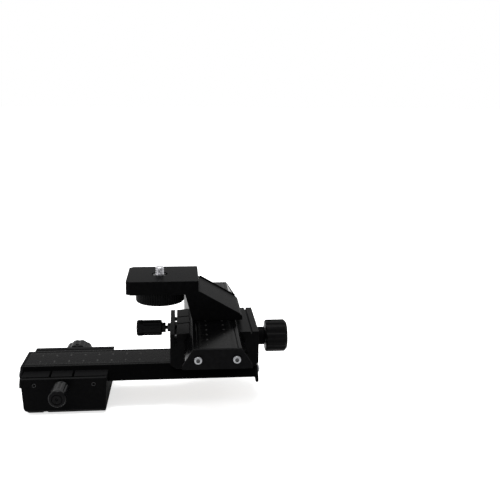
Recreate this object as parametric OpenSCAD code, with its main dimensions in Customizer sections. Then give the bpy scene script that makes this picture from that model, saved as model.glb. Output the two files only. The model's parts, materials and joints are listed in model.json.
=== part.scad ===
// Two-way macro focusing rail.
// A tripod block carries a long dovetail rail that slides left and right.
// A second block, the same part turned a quarter, stands on the rail's right end.
// It carries a cross rail that slides towards and away from the viewer, with a camera bracket on top.
// Each slide is a rack and pinion driven by a fluted knob and held by a clamping shoe.
// Frame: origin at the mouth of the tripod socket, +X along the long rail, +Y away, +Z up.
// A block is drawn in its own frame: rail along +X, lock knob towards -Y, focusing knob towards +Y.

/* [Rails] */
// Length of each rail without its end plates
rail_length = 162; // [130:1:220]
// Width of the top face of a rail
rail_top_width = 30.7; // [27:0.1:36]
// Thickness of a rail
rail_height = 10.1; // [9:0.1:12]
// Height of the upright strip at the foot of each flank
rail_foot = 1; // [0.6:0.1:2]
// Angle of the dovetail flanks above the flat
dovetail_angle = 60; // [56:1:66]
// Distance of the engraved line from each top edge
edge_line_inset = 2; // [1.2:0.1:3]
// Width of the engraved line
edge_line_width = 0.6; // [0.3:0.1:1]
// Depth of the engraved line
edge_line_depth = 0.4; // [0.2:0.1:1]

/* [End plates] */
// Thickness of an end plate
plate_thickness = 2; // [1.5:0.1:4]
// Height of an end plate
plate_height = 13.2; // [12:0.1:15]
// Width of an end plate at its foot
plate_width = 44.6; // [40:0.2:50]
// Height of the upright side at the foot of an end plate
plate_side = 2.6; // [1:0.1:4]
// Spacing of the two screws of an end plate
plate_screw_spacing = 24.6; // [20:0.2:30]
// Distance of these screws below the rail's top
plate_screw_drop = 6.8; // [6:0.1:7.8]
// Diameter of the screws of an end plate
plate_screw = 3; // [2.5:0.5:3]
// Length of these screws inside the plate and the rail
plate_screw_length = 9; // [7:0.5:14]

/* [Blocks] */
// Length of a block along its rail
block_length = 58; // [48:1:80]
// Width of a block across its rail
block_width = 61.2; // [57:0.2:72]
// Height of a block
block_height = 26.6; // [25.4:0.2:34]
// Height by which the rail stands above the block
rail_rise = 2.8; // [2:0.1:4]
// Width of the chamfer along the two long edges of the underside
side_chamfer_width = 4; // [1:0.1:6]
// Height of that chamfer
side_chamfer_height = 3.2; // [1:0.1:5]
// Lean of the two end faces inwards from the top to the foot
end_lean = 1.6; // [0.5:0.1:2.5]
// Width of the chamfer along the underside's edge at the end with the locating groove
end_chamfer_width = 2.6; // [1:0.1:4]
// Height of that chamfer
end_chamfer_height = 4.6; // [1:0.1:5]
// Width and height of the small chamfer along the underside's other end
small_end_chamfer = 0.8; // [0.4:0.1:2]
// Thickness of the outer wall that holds the lock screw
leaf_thickness = 3.2; // [2:0.1:4]
// Width of the slot between the outer wall and the jaw
jaw_slot_width = 1.4; // [1.4:0.1:3]
// Depth of that slot
jaw_slot_depth = 10; // [8:0.5:12]
// Drop of the jaw's outer edge and of the outer wall below the block's top
jaw_drop = 0.8; // [0.2:0.1:1.5]
// Sliding clearance between a rail and its channel
slide_gap = 0.1; // [0.05:0.01:0.2]
// Distance of the line on the fixed wall from its outer face
wall_line_inset = 4.5; // [2:0.1:5]
// Width of the line on the fixed wall
wall_line_width = 1.2; // [0.6:0.1:2]
// Depth of the line on the fixed wall
wall_line_depth = 1.5; // [0.5:0.1:3]
// Width of the locating groove across the underside
locating_groove_width = 3; // [1.5:0.1:4]
// Depth of the locating groove
locating_groove_depth = 1.3; // [0.5:0.1:2]
// Distance of the locating groove from the middle of the block
locating_groove_offset = 13.6; // [13:0.1:18]

/* [Rack and pinion] */
// Size of the teeth as pitch diameter over tooth count
tooth_module = 0.7; // [0.65:0.01:0.75]
// Number of pinion teeth
pinion_teeth = 12; // [12:1:13]
// Play between the teeth at the pitch line
backlash = 0.12; // [0.08:0.01:0.2]
// Width of the rack
rack_width = 8; // [6:0.5:10]
// Depth of the rack's seat in the underside of the rail
rack_seat = 3.2; // [2.5:0.1:4]
// Distance of the rack's pitch line below the rail
rack_drop = 1.4; // [1.2:0.1:1.6]
// Face width of the pinion
pinion_width = 9; // [7:0.5:11]
// Diameter of the pinion shaft towards the knob
shaft_diameter = 6; // [5:0.1:6.5]
// Diameter of the shaft's far journal
journal_diameter = 5; // [4:0.1:6]
// Length of the far journal
journal_length = 13; // [8:0.5:16]
// Running clearance of a shaft in its bore
shaft_gap = 0.04; // [0.02:0.005:0.06]

/* [Focusing knobs] */
// Diameter of a focusing knob
focus_knob_diameter = 23.2; // [20:0.1:26]
// Length of a focusing knob
focus_knob_length = 16.2; // [12:0.2:20]
// Number of flutes around a focusing knob
focus_flutes = 16; // [12:1:24]
// Depth of these flutes
focus_flute_depth = 0.7; // [0.4:0.1:1]
// Chamfer around the outer end of a focusing knob
focus_chamfer = 1.8; // [1:0.1:2.4]
// Chamfer around its inner end
focus_back_chamfer = 0.8; // [0.4:0.1:1.4]
// Height of the dome of its end face
focus_dome = 0.6; // [0.3:0.1:1.2]
// Diameter of the bush's collar between the block and the knob
bush_collar = 13; // [12:0.2:14]
// Length of that collar
bush_collar_length = 7; // [5:0.2:10]
// Diameter of the bush inside the block
bush_diameter = 10; // [9.9:0.1:10.4]

/* [Lock knobs] */
// Diameter of a lock knob
lock_knob_diameter = 11.2; // [9:0.2:12]
// Length of a lock knob without its neck
lock_knob_length = 18.1; // [14:0.1:24]
// Diameter of the plain head ring at its outer end
lock_head_diameter = 11.6; // [10:0.2:13]
// Length of that head ring
lock_head_length = 4.3; // [3:0.1:6]
// Number of flutes around a lock knob
lock_flutes = 10; // [8:1:16]
// Diameter of the neck of a lock knob
lock_neck = 7.3; // [6:0.1:8]
// Length of that neck
lock_neck_length = 2.7; // [1.5:0.1:4]
// Diameter of the lock screw
lock_screw = 3; // [2.5:0.1:4]
// Bare length of screw between the lock bush and the neck
lock_screw_bare = 1.2; // [1:0.1:4]
// Diameter of the lock bush's flange
lock_bush_flange = 6.2; // [5.6:0.1:7]
// Thickness of that flange
lock_bush_height = 2.2; // [2:0.1:5]
// Distance of the lock screw and the play screws below the block's top
lock_drop = 5.3; // [4:0.1:6]
// Distance of the lock screw from the middle of the block, along the rail
lock_offset = -0.8; // [-2:0.1:2]
// Distance of the clamping shoe's middle from the middle of the block
shoe_offset = -2.2; // [-3:0.1:3]
// Length of the clamping shoe
shoe_length = 15.2; // [12:0.2:20]
// Width of the slit at each end of the shoe
shoe_slit = 0.8; // [0.5:0.1:1.5]
// Gap between the tightened shoe and the rail
grip_gap = 0.04; // [0.03:0.01:0.08]
// Spacing of the two play screws in the outer wall
play_screw_spacing = 40; // [30:1:44]
// Diameter of the play screws
play_screw = 3; // [2.5:0.1:3.5]

/* [Camera bracket] */
// Height of the platform's top above the cross rail
bracket_rise = 28.9; // [24:0.1:36]
// Thickness of the platform
platform_thickness = 9.8; // [7:0.1:12]
// Length of the platform
platform_length = 51; // [44:0.2:60]
// Depth of the platform and the bracket
bracket_depth = 46; // [38:1:56]
// Cut of the platform's two outer corners
platform_corner = 3; // [3:0.5:10]
// Cut of the platform's two inner corners
platform_inner_corner = 1; // [0.5:0.1:2]
// Distance from the rail's middle to the platform's inner end
platform_reach = 10.2; // [8:0.2:12]
// Reach of the bracket's foot past the rail's middle on the high side
foot_left = 15; // [15:0.1:18]
// Reach of the bracket's foot past the rail's middle on the low side
foot_right = 20.5; // [17:0.1:22]
// Height of the low end of the ramp
ramp_toe = 3.8; // [2.5:0.1:6]
// Ledge between the top of the ramp and the platform's inner end
ramp_ledge = 1; // [0.3:0.1:1.5]
// Rise of the top of the ramp above the platform's underside
ramp_rise = 2.1; // [0.2:0.1:3]
// Outward lean of the bracket's upright side
foot_lean = 4.7; // [2:0.1:5]
// Radius of the rounded toe of the ramp
toe_radius = 1.4; // [0.5:0.1:2]

/* [Camera screw] */
// Distance of the camera screw from the rail's middle
camera_screw_reach = 38; // [36:0.2:40]
// Diameter of the camera screw
camera_screw_diameter = 6.2; // [6:0.05:6.3]
// Running clearance of the camera screw in the platform
camera_screw_gap = 0.08; // [0.04:0.01:0.1]
// Height of the camera screw above the platform
camera_screw_height = 5.5; // [4:0.1:8]
// Diameter of the camera wheel
wheel_diameter = 35.2; // [30:0.2:35.4]
// Height of the camera wheel
wheel_height = 9.4; // [6:0.2:10]
// Number of ribs around the camera wheel
wheel_ribs = 60; // [40:2:80]
// Depth of the grooves between these ribs
wheel_rib_depth = 0.7; // [0.3:0.1:1]
// Diameter of the washer between the wheel and the platform
camera_washer = 16; // [12:0.5:20]
// Thickness of that washer
camera_washer_height = 0.5; // [0.3:0.1:0.8]
// Diameter of the recess for the retaining ring
clip_recess = 11; // [10.4:0.2:14]
// Depth of that recess
clip_recess_depth = 1.4; // [1.2:0.1:2.5]
// Thickness of the retaining ring
clip_thickness = 0.8; // [0.5:0.1:1]
// Radial width of the retaining ring
clip_width = 1.6; // [1:0.1:2]

/* [Tripod socket] */
// Diameter of the threaded bushing
bushing_diameter = 9.52; // [9:0.02:12]
// Length of the bushing
bushing_length = 6.6; // [5:0.1:7]
// Diameter of the tripod screw's hole in it
socket_diameter = 6.5; // [6.4:0.05:6.6]
// Width of the driver slot across the bushing
driver_slot = 1.2; // [0.8:0.1:1.6]

/* [Mounting screws] */
// Diameter of the screws through the rails
mount_screw = 4; // [3:0.1:5]
// Length of these screws beyond the rail
mount_screw_reach = 6; // [4:0.5:7]
// Spacing along the rail of the screws that hold the cross block
block_screw_spacing = 34; // [26:1:38]
// Spacing along the rail of the screws that hold the bracket
bracket_screw_spacing = 28; // [20:1:36]
// Spacing of all these screws across the rail
mount_screw_gauge = 19; // [18:0.5:21]
// Diameter of the screws that hold the racks
rack_screw = 2.5; // [2:0.1:3]
// Number of screws in each rack
rack_screws = 4; // [2:1:6]

/* [Rest position] */
// Gap between the tripod block and the long rail's left end plate
long_rest_gap = 0.7; // [0.2:0.1:60]
// Distance of the cross block from the outer face of the long rail's right end plate
cross_block_setback = 0.7; // [0:0.1:40]
// Offset of the cross rail's middle from the middle of its block, away from the viewer
cross_rest_offset = 12.3; // [-30:0.1:30]

/* [Hidden] */

$fn = 64;

black = [0.09, 0.09, 0.1];
knob_black = [0.06, 0.06, 0.065];
steel = [0.78, 0.78, 0.8];
brass = [0.72, 0.6, 0.35];
nylon = [0.15, 0.15, 0.16];

// Overshoot of a cut past the face it opens
over = 1;
// Clearance between a screw or bush and the hole it sits in
seat_gap = 0.01;

// Heights in a block's own frame
rail_top = block_height + rail_rise;
rail_bottom = rail_top - rail_height;
channel_floor = rail_bottom - slide_gap;
lock_height = block_height - lock_drop;

// Widths across a rail
rail_half = rail_top_width / 2;
rail_foot_half = rail_half + flank_run(rail_height - rail_foot);
block_half = block_width / 2;
leaf_inner = block_half - leaf_thickness;
jaw_outer = leaf_inner - jaw_slot_width;
lip_half = rail_half + flank_run(rail_rise);

// Teeth
pitch = PI * tooth_module;
pitch_radius = tooth_module * pinion_teeth / 2;
pressure_angle = 20;
pinion_addendum = 0.8 * tooth_module;
rack_addendum = 0.65 * tooth_module;
tooth_clearance = 0.25 * tooth_module;
base_radius = pitch_radius * cos(pressure_angle);
tip_radius = pitch_radius + pinion_addendum;
root_radius = pitch_radius - rack_addendum - tooth_clearance;
rack_half_tooth = pitch / 4 - backlash / 4;
flank_steps = 5;
pinion_height = rail_bottom - rack_drop - pitch_radius;
rack_tip = rail_height + rack_drop + rack_addendum;
rack_root = rail_height + rack_drop - pinion_addendum - tooth_clearance;
rack_channel_half = rack_width / 2 + 0.7;
rack_channel_floor = rail_top - rack_tip - 0.4;

// Places along the pinion shaft, measured across the block
bush_inner_end = rack_channel_half + 0.3;
cavity_end = -(pinion_width / 2 + 0.5);
collar_end = block_half + bush_collar_length;
knob_gap = 0.3;
focus_knob_start = collar_end + knob_gap;
focus_knob_end = focus_knob_start + focus_knob_length;
shaft_end = focus_knob_end - 3;
knob_screw_radius = 1.5;
knob_screw_place = focus_knob_start + 3.2;

// Places along the lock screw, measured across the block
lock_bush_face = -(block_half + lock_bush_height);
lock_neck_start = lock_bush_face - lock_screw_bare;
lock_body_start = lock_neck_start - lock_neck_length;
lock_knob_end = lock_body_start - lock_knob_length;
lock_tip_gap = 0.05;
lock_screw_radius = lock_screw / 2;

// Placing of the rails
long_start = -block_length / 2 - long_rest_gap;
long_end = long_start + rail_length + plate_thickness;
cross_x = long_end - cross_block_setback - block_half;
cross_start = -rail_length / 2 - cross_rest_offset;
rack_place_long = -long_start;
rack_place_cross = -cross_start;

// Bracket frame: origin on the cross rail's top at its middle, +X to the right, +Y away
platform_bottom = bracket_rise - platform_thickness;
platform_end = -platform_reach - platform_length;
wheel_top = platform_bottom - camera_washer_height;
wheel_bottom = wheel_top - wheel_height;

// Screw sizes
pan_head_ratio = 1.86;
pan_head_height = 0.62;
rack_head_radius = rack_screw * 0.94;
rack_head_height = rack_screw * 0.6;

// Horizontal run of a dovetail flank over a height
function flank_run(height) = height / tan(dovetail_angle);

// Solid of a profile drawn as (across, up), running along +X
module along_x(length) {
    rotate([90, 0, 90])
        linear_extrude(length)
            children();
}

// Solid of a profile drawn as (along X, up), running along +Y from start to end
module along_y(start, end) {
    translate([0, end, 0])
        rotate([90, 0, 0])
            linear_extrude(end - start)
                children();
}

// Round bar along Y
module bar_y(radius, start, end) {
    translate([0, end, 0])
        rotate([90, 0, 0])
            cylinder(h = end - start, r = radius);
}

// Frame of the long rail: top of the rail at its left end
module at_long_rail() {
    translate([long_start, 0, rail_top])
        children();
}

// Frame of the cross block, a quarter turn from the tripod block
module at_cross_block() {
    translate([cross_x, 0, rail_top])
        rotate([0, 0, -90])
            children();
}

// Frame of the cross rail: its top at its far end
module at_cross_rail() {
    at_cross_block()
        translate([cross_start, 0, rail_top])
            children();
}

// Frame of the bracket on the cross rail's middle
module at_bracket() {
    translate([cross_x, cross_rest_offset, 2 * rail_top])
        children();
}

// Dovetail outline of a rail with its top at zero
module rail_outline() {
    polygon([
        [-rail_half, 0],
        [-rail_foot_half, rail_foot - rail_height],
        [-rail_foot_half, -rail_height],
        [rail_foot_half, -rail_height],
        [rail_foot_half, rail_foot - rail_height],
        [rail_half, 0]
    ]);
}

// Places of a rectangle of four screws around a point on the rail's middle line
module four_screws(middle, spacing) {
    for (along = [-1, 1])
        for (across = [-1, 1])
            translate([middle + along * spacing / 2, across * mount_screw_gauge / 2, 0])
                children();
}

// Countersunk screw whose head lies flush in a rail's underside, pointing up
module flat_screw() {
    translate([0, 0, -rail_height]) {
        cylinder(h = mount_screw / 2, r1 = mount_screw, r2 = mount_screw / 2);
        cylinder(h = rail_height + mount_screw_reach, r = mount_screw / 2);
    }
}

// Hole of that screw through a rail
module flat_screw_hole() {
    translate([0, 0, -rail_height])
        cylinder(
            h = mount_screw / 2 + seat_gap,
            r1 = mount_screw + 2 * seat_gap,
            r2 = mount_screw / 2 + seat_gap
        );
    translate([0, 0, -rail_height - over])
        cylinder(h = rail_height + 2 * over, r = mount_screw / 2 + seat_gap);
}

// Places of the rack's screws along a rail
module rack_screw_places() {
    step = rail_length / rack_screws;
    for (index = [0 : rack_screws - 1])
        translate([step * (index + 0.5), 0, 0])
            children();
}

// Places of the two screws at an end of a rail
module plate_screw_places() {
    for (side = [-1, 1])
        translate([0, side * plate_screw_spacing / 2, -plate_screw_drop])
            children();
}

// Dovetail rail with the seat for its rack and its screw holes
module rail(screw_middle, screw_spacing) {
    seat_half = rack_width / 2 + seat_gap;
    line_place = rail_half - edge_line_inset - edge_line_width / 2;
    hole_depth = plate_screw_length - plate_thickness + 1;
    difference() {
        along_x(rail_length)
            rail_outline();
        for (side = [-1, 1])
            translate([-over, side * line_place - edge_line_width / 2, -edge_line_depth])
                cube([rail_length + 2 * over, edge_line_width, edge_line_depth + over]);
        translate([-over, -seat_half, -rail_height - over])
            cube([rail_length + 2 * over, 2 * seat_half, rack_seat + over]);
        four_screws(screw_middle, screw_spacing)
            flat_screw_hole();
        rack_screw_places()
            translate([0, 0, -rail_height])
                cylinder(h = rail_height - 2.4, r = rack_screw / 2 + seat_gap);
        plate_screw_places()
            rotate([0, 90, 0])
                translate([0, 0, -over])
                    cylinder(h = hole_depth + over, r = plate_screw / 2 + seat_gap);
        translate([rail_length, 0, 0])
            plate_screw_places()
                rotate([0, -90, 0])
                    translate([0, 0, -over])
                        cylinder(h = hole_depth + over, r = plate_screw / 2 + seat_gap);
    }
}

// Rack bar with straight-sided teeth; a gap between teeth lies at gap_place
module rack(gap_place) {
    lean = tan(pressure_angle);
    tip_half = rack_half_tooth - rack_addendum * lean;
    root_half = rack_half_tooth + (pinion_addendum + tooth_clearance) * lean;
    first = ceil((root_half - gap_place) / pitch - 0.5);
    last = floor((rail_length - root_half - gap_place) / pitch - 0.5);
    teeth = [
        for (index = [first : last])
            let (middle = gap_place + (index + 0.5) * pitch)
                each [
                    [middle - root_half, -rack_root],
                    [middle - tip_half, -rack_tip],
                    [middle + tip_half, -rack_tip],
                    [middle + root_half, -rack_root]
                ]
    ];
    difference() {
        along_y(-rack_width / 2, rack_width / 2)
            polygon(concat(
                [[0, rack_seat - rail_height], [0, -rack_root]],
                teeth,
                [[rail_length, -rack_root], [rail_length, rack_seat - rail_height]]
            ));
        rack_screw_places() {
            translate([0, 0, -rack_tip - over])
                cylinder(
                    h = over + rack_tip - rack_root + rack_head_height,
                    r = rack_head_radius + seat_gap
                );
            translate([0, 0, -rack_tip - over])
                cylinder(h = rack_tip + 2 * over, r = rack_screw / 2 + seat_gap);
        }
    }
}

// Screws that hold a rack, with their heads just inside the tooth roots
module rack_screw_set() {
    rack_screw_places()
        translate([0, 0, -rack_root]) {
            cylinder(h = rack_head_height, r = rack_head_radius);
            cylinder(h = rack_root - 3, r = rack_screw / 2);
        }
}

// End plate with its outer face at zero, running along +X
module end_plate() {
    plate_half = plate_width / 2;
    difference() {
        along_x(plate_thickness)
            polygon([
                [-rail_half, 0],
                [-plate_half, plate_side - plate_height],
                [-plate_half, -plate_height],
                [plate_half, -plate_height],
                [plate_half, plate_side - plate_height],
                [rail_half, 0]
            ]);
        plate_screw_places()
            rotate([0, 90, 0])
                translate([0, 0, -over])
                    cylinder(h = plate_thickness + 2 * over, r = plate_screw / 2 + seat_gap);
    }
}

// Pan-head screw of an end plate, head towards -X and shank along +X from the plate's face
module plate_pan_screw() {
    head_radius = plate_screw * pan_head_ratio / 2;
    head_height = plate_screw * pan_head_height;
    crown = head_radius * 1.6;
    rotate([0, 90, 0]) {
        cylinder(h = plate_screw_length, r = plate_screw / 2);
        intersection() {
            translate([0, 0, -head_height])
                cylinder(h = head_height, r = head_radius);
            translate([0, 0, crown - head_height])
                sphere(r = crown);
        }
    }
}

// The four screws of both end plates of a rail
module plate_screw_set() {
    translate([-plate_thickness, 0, 0])
        plate_screw_places()
            plate_pan_screw();
    translate([rail_length + plate_thickness, 0, 0])
        mirror([1, 0, 0])
            plate_screw_places()
                plate_pan_screw();
}

// Section of a block across its rail: chamfered foot, dovetail channel, rack groove, jaw slot and wall line
module block_section() {
    channel_foot = rail_foot_half + slide_gap;
    channel_lip = lip_half + slide_gap;
    foot_top = rail_bottom + rail_foot;
    line_outer = block_half - wall_line_inset;
    line_inner = line_outer - wall_line_width;
    line_floor = block_height - wall_line_depth;
    slot_floor = block_height - jaw_slot_depth;
    leaf_top = block_height - jaw_drop;
    polygon([
        [-block_half + side_chamfer_width, 0],
        [block_half - side_chamfer_width, 0],
        [block_half, side_chamfer_height],
        [block_half, block_height],
        [line_outer, block_height],
        [line_outer, line_floor],
        [line_inner, line_floor],
        [line_inner, block_height],
        [channel_lip, block_height],
        [channel_foot, foot_top],
        [channel_foot, channel_floor],
        [rack_channel_half, channel_floor],
        [rack_channel_half, rack_channel_floor],
        [-rack_channel_half, rack_channel_floor],
        [-rack_channel_half, channel_floor],
        [-channel_foot, channel_floor],
        [-channel_foot, foot_top],
        [-channel_lip, block_height],
        [-jaw_outer, leaf_top],
        [-jaw_outer, slot_floor],
        [-leaf_inner, slot_floor],
        [-leaf_inner, leaf_top],
        [-block_half, leaf_top],
        [-block_half, side_chamfer_height]
    ]);
}

// Wedge cut off a block's end: its lean and the chamfer along its foot
module end_cut_outline(width, height) {
    slope = height / width;
    lean = end_lean / block_height;
    end = block_length / 2;
    corner = end - lean * (block_height - height);
    polygon([
        [corner - width - over, -over * slope],
        [end + 3 * over, -over * slope],
        [end + 3 * over, block_height + over],
        [end + over * lean, block_height + over],
        [corner, height]
    ]);
}

// Block that carries a rail
module block() {
    pocket_half = shoe_length / 2 + shoe_slit;
    difference() {
        translate([-block_length / 2 - over, 0, 0])
            along_x(block_length + 2 * over)
                block_section();
        along_y(-block_half - over, block_half + over)
            end_cut_outline(small_end_chamfer, small_end_chamfer);
        mirror([1, 0, 0])
            along_y(-block_half - over, block_half + over)
                end_cut_outline(end_chamfer_width, end_chamfer_height);
        translate([shoe_offset - pocket_half, -jaw_outer - over / 2, channel_floor])
            cube([2 * pocket_half, jaw_outer + over / 2 - rail_half, block_height]);
        translate([0, 0, pinion_height]) {
            bar_y(bush_diameter / 2 + seat_gap, cavity_end, block_half + over);
            bar_y(journal_diameter / 2 + shaft_gap, cavity_end - journal_length - 0.5, cavity_end + over);
        }
        translate([lock_offset, 0, lock_height])
            bar_y(lock_bush_spigot() + seat_gap, -block_half - over, -leaf_inner + over);
        for (side = [-1, 1])
            translate([side * play_screw_spacing / 2, 0, lock_height])
                bar_y(play_screw / 2 + seat_gap, -block_half - over, -leaf_inner + over);
        translate([-locating_groove_offset - locating_groove_width / 2, -block_half - over, -over])
            cube([locating_groove_width, block_width + 2 * over, locating_groove_depth + over]);
    }
}

// Radius of the lock bush inside the outer wall
function lock_bush_spigot() = lock_bush_flange / 2 - 0.4;

// Clamping shoe: the middle piece of the jaw, between two slits
module shoe() {
    bottom = channel_floor + slide_gap;
    translate([shoe_offset - shoe_length / 2, 0, 0])
        along_x(shoe_length)
            polygon([
                [-jaw_outer, bottom],
                [-rail_foot_half - grip_gap, bottom],
                [-rail_foot_half - grip_gap, rail_bottom + rail_foot],
                [-lip_half - grip_gap, block_height],
                [-jaw_outer, block_height - jaw_drop]
            ]);
}

// Play screws: headless screws through the outer wall that bear on the jaw
module play_screw_set() {
    recess = 0.5;
    socket = play_screw * 0.26;
    for (side = [-1, 1])
        translate([side * play_screw_spacing / 2, 0, lock_height])
            difference() {
                bar_y(play_screw / 2, -block_half + recess, -jaw_outer);
                bar_y(socket, -block_half - over, -block_half + recess + 1.4, $fn = 6);
            }
}

// Threaded bush of the lock screw, pressed into the outer wall
module lock_bush() {
    translate([lock_offset, 0, lock_height])
        difference() {
            union() {
                bar_y(lock_bush_flange / 2, lock_bush_face, -block_half);
                bar_y(lock_bush_spigot(), -block_half - 0.5, -leaf_inner);
            }
            bar_y(lock_screw / 2 + shaft_gap, lock_bush_face - over, -leaf_inner + over);
        }
}

// Lock screw from the shoe to inside the knob
module lock_screw_bar() {
    translate([lock_offset, 0, lock_height])
        bar_y(lock_screw_radius, lock_knob_end + 4, -jaw_outer - lock_tip_gap);
}

// Lock knob: a beaded neck, a slim fluted barrel and a plain head with a turned ring in its face
module lock_knob() {
    radius = lock_knob_diameter / 2;
    head_radius = lock_head_diameter / 2;
    head_start = lock_knob_length - lock_head_length;
    edge = 1;
    back_edge = 0.6;
    flute_radius = 0.9;
    flute_depth = 0.45;
    ring_outer = head_radius * 0.64;
    ring_inner = head_radius * 0.5;
    translate([lock_offset, lock_body_start, lock_height])
        rotate([90, 0, 0])
            difference() {
                rotate_extrude()
                    polygon([
                        [0, -lock_neck_length],
                        [lock_neck / 2, -lock_neck_length],
                        [lock_neck / 2, 0],
                        [radius - back_edge, 0],
                        [radius, back_edge],
                        [radius, head_start],
                        [head_radius, head_start + 0.3],
                        [head_radius, lock_knob_length - edge],
                        [head_radius - 0.3 * edge, lock_knob_length - 0.3 * edge],
                        [head_radius - edge, lock_knob_length],
                        [0, lock_knob_length]
                    ]);
                for (index = [0 : lock_flutes - 1])
                    rotate([0, 0, (index + 0.2) * 360 / lock_flutes])
                        translate([radius + flute_radius - flute_depth, 0, 1])
                            cylinder(h = head_start - 1.4, r = flute_radius, $fn = 24);
                translate([0, 0, lock_knob_length - 0.6])
                    difference() {
                        cylinder(h = over, r = ring_outer);
                        translate([0, 0, -over])
                            cylinder(h = 3 * over, r = ring_inner);
                    }
                translate([0, 0, lock_knob_length])
                    sphere(r = 1);
                translate([0, 0, -lock_neck_length - over])
                    cylinder(
                        h = lock_neck_length + lock_knob_length - 4 + over,
                        r = lock_screw_radius + seat_gap
                    );
            }
}

// Angle in degrees between the pitch point and the flank at a radius
function involute(angle) = tan(angle) * 180 / PI - angle;
function half_tooth(radius) =
    90 / pinion_teeth + involute(pressure_angle) - involute(acos(min(1, base_radius / radius)))
    - backlash / 4 / pitch_radius * 180 / PI;

// Outline of the pinion with one tooth pointing to +Y of the drawing
module pinion_outline() {
    start_radius = max(base_radius, root_radius);
    radii = [
        for (step = [0 : flank_steps])
            start_radius + (tip_radius - start_radius) * step / flank_steps
    ];
    root_half = half_tooth(start_radius);
    polygon([
        for (tooth = [0 : pinion_teeth - 1])
            let (middle = 90 - tooth * 360 / pinion_teeth)
                each concat(
                    [root_radius * [cos(middle + root_half), sin(middle + root_half)]],
                    [for (r = radii) r * [cos(middle + half_tooth(r)), sin(middle + half_tooth(r))]],
                    [for (step = [flank_steps : -1 : 0])
                        let (r = radii[step])
                            r * [cos(middle - half_tooth(r)), sin(middle - half_tooth(r))]],
                    [root_radius * [cos(middle - root_half), sin(middle - root_half)]]
                )
    ]);
}

// Pinion cut in one piece with its shaft
module pinion() {
    translate([0, 0, pinion_height]) {
        along_y(-pinion_width / 2, pinion_width / 2)
            pinion_outline();
        bar_y(shaft_diameter / 2, pinion_width / 2 - over, shaft_end);
        bar_y(journal_diameter / 2, cavity_end - journal_length, -pinion_width / 2 + over);
    }
}

// Bush of the pinion shaft with the collar that stands out of the block
module pinion_bush() {
    collar_edge = 0.5;
    translate([0, 0, pinion_height])
        difference() {
            union() {
                bar_y(bush_diameter / 2, bush_inner_end, block_half + over);
                bar_y(bush_collar / 2, block_half, collar_end - collar_edge);
                bar_y(bush_collar / 2 - collar_edge, block_half, collar_end);
            }
            bar_y(shaft_diameter / 2 + shaft_gap, bush_inner_end - over, collar_end + over);
        }
}

// Focusing knob: broad shallow flutes, chamfered rims and a slightly domed end face
module focus_knob() {
    radius = focus_knob_diameter / 2;
    flute_radius = 2.6;
    face_radius = radius - focus_chamfer;
    dome_start = focus_knob_length - focus_dome;
    dome_radius = (face_radius * face_radius + focus_dome * focus_dome) / (2 * focus_dome);
    translate([0, focus_knob_start, pinion_height])
        rotate([-90, 0, 0])
            difference() {
                intersection() {
                    rotate_extrude()
                        polygon([
                            [0, 0],
                            [radius - focus_back_chamfer, 0],
                            [radius, focus_back_chamfer],
                            [radius, dome_start - focus_chamfer],
                            [face_radius, dome_start],
                            [face_radius, focus_knob_length],
                            [0, focus_knob_length]
                        ]);
                    translate([0, 0, focus_knob_length - dome_radius])
                        sphere(r = dome_radius, $fn = 96);
                }
                for (index = [0 : focus_flutes - 1])
                    rotate([0, 0, 90 + index * 360 / focus_flutes])
                        translate([radius + flute_radius - focus_flute_depth, 0, -over])
                            cylinder(h = focus_knob_length + 2 * over, r = flute_radius, $fn = 32);
                translate([0, 0, -over])
                    cylinder(h = shaft_end - focus_knob_start + over, r = shaft_diameter / 2 + seat_gap);
                translate([0, 0, knob_screw_place - focus_knob_start])
                    rotate([90, 0, 0])
                        cylinder(h = radius + over, r = knob_screw_radius + seat_gap);
            }
}

// Headless screw that holds a focusing knob on its shaft, under the uppermost flute
module knob_screw() {
    seat = shaft_diameter / 2 + seat_gap;
    length = 5;
    translate([0, knob_screw_place, pinion_height])
        difference() {
            translate([0, 0, seat])
                cylinder(h = length, r = knob_screw_radius);
            translate([0, 0, seat + length - 1.4])
                cylinder(h = 2, r = 0.8, $fn = 6);
        }
}

// Tripod block with its socket
module tripod_block() {
    color(black)
        difference() {
            block();
            translate([0, 0, -over])
                cylinder(h = bushing_length + over, r = bushing_diameter / 2 + seat_gap);
        }
}

module tripod_bushing() {
    color(steel)
        difference() {
            cylinder(h = bushing_length, r = bushing_diameter / 2);
            translate([0, 0, -over])
                cylinder(h = bushing_length + 2 * over, r = socket_diameter / 2);
            translate([-bushing_diameter, -driver_slot / 2, -over])
                cube([2 * bushing_diameter, driver_slot, driver_slot + over]);
        }
}

module tripod_shoe() {
    color(black)
        shoe();
}

module tripod_play_screws() {
    color(steel)
        play_screw_set();
}

module tripod_lock_bush() {
    color(steel)
        lock_bush();
}

module tripod_lock_screw() {
    color(steel)
        lock_screw_bar();
}

module tripod_lock_knob() {
    color(knob_black)
        lock_knob();
}

module tripod_pinion() {
    color(brass)
        pinion();
}

module tripod_pinion_bush() {
    color(black)
        pinion_bush();
}

module tripod_focus_knob() {
    color(knob_black)
        focus_knob();
}

module tripod_knob_screw() {
    color(steel)
        knob_screw();
}

// Distance along the long rail to the middle of the cross block
cross_block_place = cross_x - long_start;

module long_rail() {
    color(black)
        at_long_rail()
            rail(cross_block_place, block_screw_spacing);
}

module long_rack() {
    color(brass)
        at_long_rail()
            rack(rack_place_long);
}

module long_rack_screws() {
    color(steel)
        at_long_rail()
            rack_screw_set();
}

module long_plate_left() {
    color(black)
        at_long_rail()
            translate([-plate_thickness, 0, 0])
                end_plate();
}

module long_plate_right() {
    color(black)
        at_long_rail()
            translate([rail_length, 0, 0])
                end_plate();
}

module long_plate_screws() {
    color(steel)
        at_long_rail()
            plate_screw_set();
}

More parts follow.
